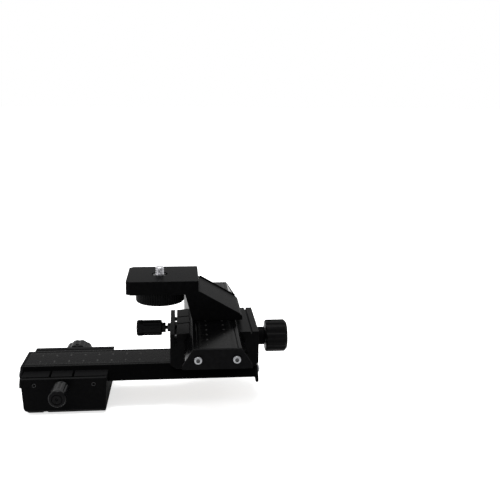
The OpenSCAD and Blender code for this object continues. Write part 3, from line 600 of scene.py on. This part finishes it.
def make_strokes():
    """Straight tool or drawing marks: noise stretched along one axis of the object."""
    group, w, given, out = new_group("tool strokes",
                                     [("Stretch", "Vector", (60.0, 6000.0, 6000.0))],
                                     [("Height", "Float"), ("Streak", "Float")])
    stretched = w.add("VectorMath", {0: w.on_object(), 1: given["Stretch"]},
                      operation="MULTIPLY").outputs["Vector"]
    w.feed(out, "Height", w.noise(stretched, 1.0, 3.0, roughness=0.7))
    w.feed(out, "Streak", w.noise(stretched, 0.13, 2.0))
    return group


def make_dust():
    """Sparse specks of dust that settle on faces that look up."""
    group, w, given, out = new_group("settled dust", [("Amount", "Float", 0.5)],
                                     [("Mask", "Float")])
    place = w.on_object()
    specks = w.spread(w.noise(place, 900.0, 1.0), 0.70, 0.78)
    patches = w.spread(w.noise(place, 35.0, 2.0), 0.45, 0.7)
    up = w.spread(w.parts(w.add("NewGeometry").outputs["Normal"])["Z"], 0.4, 0.95)
    mask = w.math("MULTIPLY", w.math("MULTIPLY", specks, patches), up)
    w.feed(out, "Mask", w.math("MULTIPLY", mask, given["Amount"], clamp=True))
    return group


def make_lathe_marks():
    """Fine rings left by the lathe.

    The noise runs far round the piece and changes quickly along its outline. It reads the
    piece's own marks, taken once round a circle so that it has no seam."""
    group, w, given, out = new_group("lathe marks", [("Rings", "Float", 9000.0)],
                                     [("Height", "Float"), ("Streak", "Float")])
    mark = w.parts(w.add("UVMap", uv_map="surface").outputs["UV"])
    turn = w.math("MULTIPLY", mark["X"], TAU)
    along = w.math("MULTIPLY", mark["Y"], given["Rings"])
    place = w.add("CombineXYZ", {0: w.math("COSINE", turn), 1: w.math("SINE", turn),
                                 2: along}).outputs["Vector"]
    w.feed(out, "Height", w.noise(place, 1.0, 2.0))
    w.feed(out, "Streak", w.noise(place, 0.2, 1.0))
    return group


edge_wear_and_highlight = make_edge_wear()
blasted_grain = make_grain()
tool_strokes = make_strokes()
settled_dust = make_dust()
lathe_marks = make_lathe_marks()


# ---------------- finishes

WORN_AND_HIGHLIGHT = (0.07, 0.07, 0.073)      # the metal at the rubbed edges of a black part, also paler as a painted edge highlight
DUST = (0.12, 0.115, 0.11)
BUMP_DEPTH = 0.01 * MM          # metres


def new_finish(name):
    """A material with an empty tree, its wiring and its Principled shader joined to the output."""
    material = bpy.data.materials.new(name)
    material.use_nodes = True
    material.node_tree.nodes.clear()
    w = Wiring(material.node_tree)
    shader = w.add("BsdfPrincipled")
    w.add("OutputMaterial", {"Surface": shader.outputs[0]}).is_active_output = True
    return material, w, shader


def darker(colour, share):
    """The colour with each of its parts multiplied by share."""
    return tuple(share * part for part in colour)


def raised(w, shader, strength, height, **normal):
    """Gives the shader bumps of the height, on the Normal that is given or else on its own."""
    bump = w.add("Bump", {"Strength": strength, "Distance": BUMP_DEPTH, "Height": height, **normal})
    w.feed(shader, "Normal", bump.outputs["Normal"])


def anodised(name, colour, roughness, specular, grain, radius=0.3 * MM, stretch=None,
             stroke=0.0, wear_and_highlight=0.6, ends=None):
    """Dyed anodised aluminium: dark and softly glossy, with a fine grain and paler edges, partly
    worn and partly a painted highlight.

    radius is how far in from an edge its wear and painted edge highlight reach, in metres. stretch
    and stroke add the marks of drawing. ends is the roughness of the faces across the X axis, where
    they were cut in another way."""
    material, w, shader = new_finish(name)
    edge = w.group(edge_wear_and_highlight, {"Radius": radius, "Broken": 0.35}).outputs
    texture = w.group(blasted_grain).outputs
    specks = w.group(settled_dust).outputs["Mask"]
    # paler edges: partly wear, partly a painted highlight
    base = w.mixed(w.math("MULTIPLY", edge["Mask"], wear_and_highlight), colour, WORN_AND_HIGHLIGHT)
    drift = w.spread(texture["Drift"], 0.3, 0.7, 0.8, 1.22)
    tint = w.add("CombineColor", {0: drift, 1: drift, 2: drift}).outputs[0]
    shade = w.add("Mix", {0: 1.0, 6: base, 7: tint}, data_type="RGBA", blend_type="MULTIPLY")
    w.feed(shader, "Base Color",
           w.mixed(w.math("MULTIPLY", specks, 0.3), shade.outputs[2], DUST))
    height = w.math("MULTIPLY", texture["Height"], grain)
    rough = w.spread(texture["Drift"], 0.25, 0.75, roughness * 0.88, roughness * 1.12)
    if stretch is not None:
        marks = w.group(tool_strokes, {"Stretch": stretch}).outputs
        height = w.more(marks["Height"], stroke, height)
        rough = w.more(marks["Streak"], 0.12 * roughness, rough)
    if ends is not None:
        facing = w.parts(w.add("NewGeometry").outputs["Normal"])
        cut = w.spread(w.math("ABSOLUTE", facing["X"]), 0.9, 0.96)
        rough = w.more(cut, w.math("SUBTRACT", ends, rough), rough)
    w.feed(shader, "Roughness", rough)
    raised(w, shader, 0.35, height, Normal=edge["Normal"])
    shader.inputs["Specular IOR Level"].default_value = specular
    shader.inputs["IOR"].default_value = 1.45
    return material


def bare_metal(name, colour, roughness, stretch=None, stroke=0.0, rings=0.0, shaded_recess=0.0):
    """Bare or plated metal with a fine grain, a faint darker film, and strokes or lathe rings.

    The last argument is how far a screw's socket reaches along its outline, in millimetres.
    The socket is painted darker there, as painted shade."""
    material, w, shader = new_finish(name)
    edge = w.group(edge_wear_and_highlight, {"Radius": 0.12 * MM, "Broken": 0.2}).outputs
    texture = w.group(blasted_grain, {"Scale": 5000.0, "Coarse Scale": 700.0}).outputs
    film = w.spread(texture["Drift"], 0.35, 0.7, 0.0, 0.12)
    base = w.mixed(film, colour, darker(colour, 0.35))
    # painted shade: the screw's socket is painted darker
    if shaded_recess:
        along = w.parts(w.add("UVMap", uv_map="surface").outputs["UV"])["Y"]
        rim = shaded_recess * MARK_PER_MM
        base = w.mixed(w.spread(along, 0.9 * rim, rim, 0.9, 0.0), base, darker(colour, 0.12))
    w.feed(shader, "Base Color", base)
    rough = w.spread(texture["Drift"], 0.25, 0.75, roughness * 0.85, roughness * 1.2)
    height = w.math("MULTIPLY", texture["Height"], 0.2)
    if stretch is not None:
        marks = w.group(tool_strokes, {"Stretch": stretch}).outputs
        height = w.more(marks["Height"], stroke, height)
    if rings:
        turned = w.group(lathe_marks).outputs
        height = w.more(turned["Height"], rings, height)
        rough = w.more(turned["Streak"], 0.2 * roughness, rough)
    w.feed(shader, "Roughness", rough)
    raised(w, shader, 0.3, height, Normal=edge["Normal"])
    shader.inputs["Metallic"].default_value = 1.0
    return material


def plain_paint(name, colour, roughness):
    """Thin matt print or plastic with a little mottling."""
    material, w, shader = new_finish(name)
    texture = w.group(blasted_grain, {"Scale": 6000.0, "Coarse Scale": 900.0}).outputs
    fade = w.spread(texture["Drift"], 0.35, 0.7, 0.0, 0.15)
    rough = w.spread(texture["Drift"], 0.3, 0.7, roughness * 0.9, roughness * 1.1)
    w.feed(shader, "Base Color", w.mixed(fade, colour, darker(colour, 0.45)))
    w.feed(shader, "Roughness", rough)
    raised(w, shader, 0.2, texture["Height"])
    shader.inputs["Specular IOR Level"].default_value = 0.03
    return material


BLACK = (0.0034, 0.0034, 0.0036)
RAIL_BLACK = (0.0008, 0.0008, 0.0009)
PLATE_BLACK = (0.0062, 0.0062, 0.0065)
GREY_BLACK = (0.0035, 0.0035, 0.0038)
ALONG_X, ALONG_Y = (60.0, 5200.0, 5200.0), (5200.0, 60.0, 5200.0)
ACROSS_RAMP = (700.0, 4200.0, 700.0)
ROUND_WEAR = 0.2 * MM

block_black = anodised("blasted black block", BLACK, 0.3, 0.0085, grain=0.4)
sawn_black = anodised("blasted black block with sawn ends", BLACK, 0.3, 0.0085, grain=0.4,
                      ends=0.62)
long_rail_black = anodised("drawn black long rail", RAIL_BLACK, 0.26, 0.016, stretch=ALONG_X,
                           stroke=0.5, grain=0.15)
cross_rail_black = anodised("drawn black cross rail", RAIL_BLACK, 0.17, 0.023, stretch=ALONG_Y,
                            stroke=0.4, grain=0.1)
plate_black = anodised("black end plate", PLATE_BLACK, 0.5, 0.004, grain=0.4, wear_and_highlight=0.08)
bracket_black = anodised("milled black bracket", BLACK, 0.28, 0.004, stretch=ACROSS_RAMP,
                         stroke=0.3, grain=0.3, wear_and_highlight=0.3, ends=0.05)
knob_black = anodised("black focusing knob", BLACK, 0.3, 0.03, grain=0.2, radius=ROUND_WEAR)
lock_grey = anodised("grey lock knob", GREY_BLACK, 0.24, 0.05, grain=0.2, radius=ROUND_WEAR)
wheel_black = anodised("black camera wheel", GREY_BLACK, 0.36, 0.03, grain=0.3,
                       radius=ROUND_WEAR)
zinc = bare_metal("bright plated screw", (0.30, 0.305, 0.315), 0.26, rings=0.4)
button_zinc = bare_metal("bright plated button screw", (0.28, 0.285, 0.295), 0.26, rings=0.4,
                         shaded_recess=2.6)
oxide = bare_metal("blackened screw", (0.03, 0.03, 0.032), 0.35, rings=0.3)
set_oxide = bare_metal("blackened set screw", (0.06, 0.06, 0.062), 0.35, rings=0.3, shaded_recess=2.4)
stainless = bare_metal("stainless screw", (0.55, 0.55, 0.57), 0.25, rings=0.3)
brass = bare_metal("cut brass", (0.62, 0.44, 0.18), 0.3, stretch=(4000.0, 300.0, 4000.0),
                   stroke=0.4)
nylon = plain_paint("black nylon", (0.012, 0.012, 0.013), 0.5)
long_print = plain_paint("grey scale print", (0.048, 0.048, 0.047), 0.55)
# the cross rail's print is the long rail's grey made darker, as painted shade
shaded_cross_print = plain_paint("grey scale print with painted shade", (0.014, 0.014, 0.0135), 0.55)


# ---------------- machined and turned parts

rounded_copy("tripod_block", 0.3, sawn_black)
rounded_copy("cross_block", 0.3, block_black)
for node, way in (("tripod_shoe", 0), ("cross_shoe", 1)):
    narrower(rounded_copy(node, 0.2, block_black), way, 0.5)
rounded_copy("long_rail", 0.25, long_rail_black)
rounded_copy("cross_rail", 0.25, cross_rail_black)
for node in ("long_plate_left", "long_plate_right", "cross_plate_near", "cross_plate_far"):
    rounded_copy(node, 0.3, plate_black)
rounded_copy("camera_bracket", 0.45, bracket_black)


def bracket_rib():
    """Low rib along the far edge of the bracket's ramp.

    Over its run the ramp falls from ramp_high to ramp_low above the bracket's underside."""
    run, ramp_high, ramp_low, inset, middle = 29.7, 21.2, 3.8, 0.75, 16.2
    long, wide, tall, sunk = 31.0, 1.0, 1.5, 0.6
    low, high = box_mm("camera_bracket")
    top = np.array([high[0] - run, high[1] - inset, low[2] + ramp_high])
    foot = np.array([high[0], high[1] - inset, low[2] + ramp_low])
    down = (foot - top) / np.linalg.norm(foot - top)
    place = place_from(down, (0, 1, 0), (-down[2], 0, down[0]), top + middle * down)
    skin = bars(np.array([[0, 0, tall / 2 - sunk]]), np.array([[long, wide, tall]]))
    rib = piece("bracket_rib", [(skin, place)], bracket_black)
    bevel = rib.modifiers.new("rounded edges", "BEVEL")
    bevel.width, bevel.segments = 0.25 * MM, 3
    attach(rib, body_of_node["camera_bracket"])


def slide_parts(block, out):
    """Knobs, bushes and screws of one block, whose pinion points along out."""
    focus_knob(block + "_focus_knob", out, knob_black)
    lock_knob(block + "_lock_knob", -out, math.radians(43.2), lock_grey)
    reach, length = 1.5, 25.27
    threaded_bar(block + "_lock_screw", -out,
                 [(0, 0), (1.3, 0), (reach, 0.25), (reach, 25.0), (1.3, length), (0, length)],
                 thread=(reach, 0.3, 0.5, 0.4, 24.9), rows=0.1, material=oxide, around=24)
    ring_piece(block + "_lock_bush", out,
               [(1.54, 0.1), (1.7, 0), (2.8, 0), (3.1, 0.3), (3.1, 2.2), (2.7, 2.2), (2.7, 5.4),
                (1.54, 5.4)], oxide, 64)
    collar, length = 25.6, 32.6
    ring_piece(block + "_pinion_bush", out,
               [(3.04, 0), (5, 0), (5, collar), (6.5, collar), (6.5, length - 0.5), (6, length),
                (3.3, length), (3.04, length - 0.2)], block_black)
    low, high = box_mm(block + "_play_screws")
    apart, aside = 20, np.array([out[1], out[0], 0])
    face = (low + high) / 2 - out * ((high - low) @ out) / 2
    socket_screws(block + "_play_screws", [(face + aside * end * apart, out) for end in (-1, 1)],
                  [(1.05, 0.1), (1.15, 0), (1.3, 0), (1.5, 0.2), (1.5, 4.6), (1.3, 4.7), (0, 4.7)],
                  flats=1.8, depth=2.2, material=set_oxide)
    low, high = box_mm(block + "_knob_screw")
    middle = (low + high) / 2
    socket_screws(block + "_knob_screw", [((middle[0], middle[1], high[2]), DOWN)],
                  [(0.98, 0.12), (1.1, 0), (1.3, 0), (1.5, 0.2), (1.5, 4.8), (1.3, 5), (0, 5)],
                  flats=1.7, depth=1.6, material=set_oxide)


def plate_screws(node, way):
    """Button screws at both ends of a rail, which runs along X where way is 0 and Y where 1.

    A head's crown is part of a sphere of radius crown."""
    crown, head, head_tall, under_head, shank, length = 4.464, 2.52, 0.95, 1.86, 1.5, 10.86
    inset, rim = 2.79, np.linspace(1.4, 2.42, 6)
    outline = [(1.32, 0.2), *zip(rim, crown - np.sqrt(crown ** 2 - rim ** 2)), (head, head_tall),
               (head, under_head), (shank, under_head), (shank, length - 0.16),
               (shank - 0.2, length), (0, length)]
    low, high = box_mm(node)
    spots = []
    for end, inwards in ((low, 1), (high, -1)):
        for side in (-1, 1):
            spot, into = (low + high) / 2, np.zeros(3)
            spot[way], into[way] = end[way], inwards
            spot[1 - way] += side * ((high - low)[1 - way] / 2 - inset)
            spots.append((spot, into))
    socket_screws(node, spots, outline, flats=2.5, depth=1.3, material=button_zinc, around=48)


def screws_from_below(node):
    """Four countersunk screws in a rectangle, with their heads at the node's underside."""
    head, solid_head, shank, length = 3.95, 4, 2, 16.1
    low, high = box_mm(node)
    centre, half = (low + high) / 2, (high - low) / 2 - solid_head
    spots = [((centre[0] + half[0] * a, centre[1] + half[1] * b, low[2]), UP)
             for a in (-1, 1) for b in (-1, 1)]
    outline = [(1.4, 0.1), (1.55, 0), (head, 0), (shank, 2), (shank, length - 0.2),
               (shank - 0.2, length), (0, length)]
    socket_screws(node, spots, outline, flats=2.5, depth=1.5, material=zinc, around=48)


def rack_screws(node, way):
    """Four small screws in a row that hold a rack, along X where way is 0 and Y where 1."""
    head, head_tall, shank = 2.35, 1.5, 1.25
    low, high = box_mm(node)
    tall = (high - low)[2]
    spots = []
    for place in np.linspace(low[way] + head, high[way] - head, 4):
        spot = (low + high) / 2
        spot[way], spot[2] = place, low[2]
        spots.append((spot, UP))
    outline = [(0.95, 0.1), (1.1, 0), (head, 0), (head, head_tall), (shank, head_tall),
               (shank, tall - 0.2), (shank - 0.15, tall), (0, tall)]
    socket_screws(node, spots, outline, flats=1.5, depth=0.9, material=zinc)


def camera_screw():
    """Camera screw: a threaded bar with a groove where its retaining ring sits."""
    reach, root, length, groove_wide = 3.1, 2.6, 24.0, 0.9
    groove = box_mm("camera_clip")[0][2] - box_mm("camera_screw")[0][2] - 0.05
    threaded_bar("camera_screw", UP,
                 [(0, 0), (reach - 0.1, 0), (reach, 0.1), (reach, groove), (root, groove),
                  (root, groove + groove_wide), (reach, groove + groove_wide),
                  (reach, length - 0.6), (2.5, length), (0, length)],
                 thread=(reach, 0.75, 1.27, groove + 1.2, length - 0.2), rows=0.15,
                 material=stainless, around=40)


bracket_rib()
slide_parts("tripod", np.array([0, 1.0, 0]))
slide_parts("cross", np.array([1.0, 0, 0]))
plate_screws("long_plate_screws", 0)
plate_screws("cross_plate_screws", 1)
screws_from_below("cross_block_screws")
screws_from_below("bracket_screws")
rack_screws("long_rack_screws", 0)
rack_screws("cross_rack_screws", 1)
camera_wheel(wheel_black)
camera_screw()

# The solids that are shown as they are.
plain_solids = {
    oxide: ["camera_clip", "tripod_pinion", "cross_pinion"],
    brass: ["long_rack", "cross_rack"],
    stainless: ["tripod_bushing"],
    nylon: ["camera_washer"],
}
for material, names in plain_solids.items():
    for name in names:
        nodes[name].data.materials.clear()
        nodes[name].data.materials.append(material)


# ---------------- scales

def figure(number, height):
    """Skin of a number whose digits are height tall, centred on the origin and 0.02 thick."""
    curve = bpy.data.curves.new("figure", "FONT")
    curve.body = str(number)
    curve.size = height / 0.7
    curve.align_x, curve.align_y = "CENTER", "CENTER"
    curve.resolution_u = 3
    curve.offset = 0.04
    curve.extrude = 0.01
    writing = bpy.data.objects.new("figure", curve)
    mesh = bpy.data.meshes.new_from_object(writing)
    mesh.calc_loop_triangles()
    points = np.empty(len(mesh.vertices) * 3)
    corners = np.empty(len(mesh.loop_triangles) * 3, int)
    mesh.vertices.foreach_get("co", points)
    mesh.loop_triangles.foreach_get("vertices", corners)
    bpy.data.objects.remove(writing)
    bpy.data.curves.remove(curve)
    bpy.data.meshes.remove(mesh)
    points, corners = points.reshape(-1, 3), corners.reshape(-1, 3)
    middle = (points.min(axis=0) + points.max(axis=0)) / 2
    corners = np.hstack([corners, np.full((len(corners), 1), -1)])
    return points - middle, corners, np.zeros((*corners.shape, 2))


def scale_print(name, rail, along, zero, hidden, material):
    """Printed scale of a rail: lines every millimetre near both edges, and a number every ten.

    A line starts at the distance edge from the middle and ends at single, every fifth at fifth
    and every tenth at tenth. The scale counts from zero, along X where along is 0 and Y where 1.
    Nothing is printed in hidden, the range along the rail that is covered."""
    edge, single, fifth, tenth, line_wide, line_tall = 11.2, 9.6, 8.2, 7.6, 0.1, 0.03
    number_tall, number_at, clear_end, clear_number = 2.4, 5.9, 0.5, 3
    low, high = box_mm(rail)
    top, middle, across = high[2], (low + high) / 2, 1 - along
    count = np.arange(int(math.ceil(low[along] + clear_end - zero)),
                      int(high[along] - clear_end - zero) + 1)
    place = zero + count
    shown = (place < hidden[0]) | (place > hidden[1])
    count, place = count[shown], place[shown]
    inner = np.where(count % 10 == 0, tenth, np.where(count % 5 == 0, fifth, single))
    skins = []
    for side in (-1, 1):
        centres, sizes = np.zeros((len(place), 3)), np.zeros((len(place), 3))
        centres[:, along], sizes[:, along] = place, line_wide
        centres[:, across] = middle[across] + side * (inner + edge) / 2
        sizes[:, across] = edge - inner
        centres[:, 2], sizes[:, 2] = top + 0.005, line_tall
        skins.append((bars(centres, sizes), None))
    for value, spot in zip(count, place):
        if value % 10 == 0 and value > 0 and spot < high[along] - clear_number:
            skin = figure(value // 10, number_tall)
            for side in (-1, 1):
                origin = np.zeros(3)
                origin[along], origin[2] = spot, top + 0.01
                origin[across] = middle[across] + side * number_at
                skins.append((skin, place_along(UP, origin)))
    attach(piece(name, skins, material), body_of_node[rail])


def covered_by(node, way):
    """Range that a node covers along X or Y, with 0.2 mm more at each end."""
    low, high = box_mm(node)
    return low[way] - 0.2, high[way] + 0.2


scale_print("long_scale", "long_rail", 0, box_mm("long_rail")[0][0],
            covered_by("cross_block", 0), long_print)
scale_print("cross_scale", "cross_rail", 1, box_mm("cross_rail")[0][1] - 2.5,
            covered_by("camera_bracket", 1), shaded_cross_print)


# ---------------- floor, light and camera

def pale_floor():
    """Wide pale floor that takes the object's soft shadow and glows enough elsewhere to be white.

    It lies 0.02 mm below the block, so that the two faces don't fall together. The glow is for
    the camera, glossy and clear rays alone, and grows with the distance from the object, where
    the lamps no longer reach."""
    reach, level = 8.0, -0.02 * MM
    corners = [(x * reach, y * reach, level) for x, y in ((-1, -1), (1, -1), (1, 1), (-1, 1))]
    mesh = bpy.data.meshes.new("studio_floor")
    mesh.from_pydata(corners, [], [(0, 1, 2, 3)])
    floor = new_object("studio_floor", mesh)
    material, w, shader = new_finish("pale floor")
    shader.inputs["Base Color"].default_value = (0.82, 0.82, 0.82, 1)
    shader.inputs["Roughness"].default_value = 0.9
    shader.inputs["Specular IOR Level"].default_value = 0.0
    shader.inputs["Emission Color"].default_value = (1, 1, 1, 1)
    path = w.add("LightPath").outputs
    mirrored = w.math("MAXIMUM", path["Is Glossy Ray"], path["Is Transmission Ray"])
    away = w.add("VectorMath", {0: w.on_object()}, operation="LENGTH").outputs["Value"]
    glow = w.math("MULTIPLY", path["Is Camera Ray"], w.spread(away, 0.3, 1.5, 0.68, 0.75))
    w.feed(shader, "Emission Strength", w.more(mirrored, 0.3, glow))
    mesh.materials.append(material)


def studio_world():
    """White where the camera, glossy or clear rays see it, and a plain soft grey as light."""
    world = bpy.data.worlds.new("studio")
    bpy.context.scene.world = world
    world.use_nodes = True
    world.node_tree.nodes.clear()
    w = Wiring(world.node_tree)
    path = w.add("LightPath").outputs
    seen = w.math("MAXIMUM", path["Is Camera Ray"], path["Is Glossy Ray"])
    seen = w.math("MAXIMUM", seen, path["Is Transmission Ray"])
    background = w.add("Background", {"Color": (1, 1, 1, 1),
                                      "Strength": w.spread(seen, 0.0, 1.0, 0.5, 1.0)})
    w.add("OutputWorld", {"Surface": background.outputs[0]})


def soft_lamp(name, size, power, position, target):
    """Square area lamp at position that faces target, all in metres."""
    lamp = bpy.data.lights.new(name, "AREA")
    lamp.shape = "SQUARE"
    lamp.size = size
    lamp.energy = power
    away = np.array(position, float) - np.array(target, float)
    away /= np.linalg.norm(away)
    side = np.cross([0, 0, 1.0], away)
    side /= np.linalg.norm(side)
    matrix = place_from(side, np.cross(away, side), away, position)
    new_object(name, lamp).matrix_world = Matrix(matrix.tolist())


def photograph_camera():
    """Camera where the photograph was taken from, in metres, from its yaw, pitch and roll."""
    position = (0.081893, -0.510894, 0.219465)
    yaw, pitch, roll = (math.radians(value) for value in (5.337, 12.336, 0.423))
    focal_pixels, picture_pixels, sensor_mm = 737.128, 500, 36.0
    forward = np.array([math.sin(yaw) * math.cos(pitch), math.cos(yaw) * math.cos(pitch),
                        -math.sin(pitch)])
    level = np.array([math.cos(yaw), -math.sin(yaw), 0.0])
    upright = np.cross(level, forward)
    matrix = place_from(level * math.cos(roll) + upright * math.sin(roll),
                        -level * math.sin(roll) + upright * math.cos(roll), -forward, position)
    lens = bpy.data.cameras.new("camera")
    lens.sensor_width = sensor_mm
    lens.lens = focal_pixels / picture_pixels * sensor_mm
    lens.clip_start = 0.01
    camera = new_object("camera", lens)
    camera.matrix_world = Matrix(matrix.tolist())
    bpy.context.scene.camera = camera


photograph_camera()
pale_floor()
studio_world()
soft_lamp("overhead softbox", 0.5, 8.0, (0.0, 0.1, 0.9), (0.06, 0, 0.04))
soft_lamp("left softbox", 0.35, 3.0, (-0.8, -0.1, 0.45), (0.05, 0, 0.04))
soft_lamp("right softbox", 0.35, 0.7, (0.95, -0.05, 0.5), (0.05, 0, 0.04))

bpy.context.scene.view_settings.view_transform = "Standard"
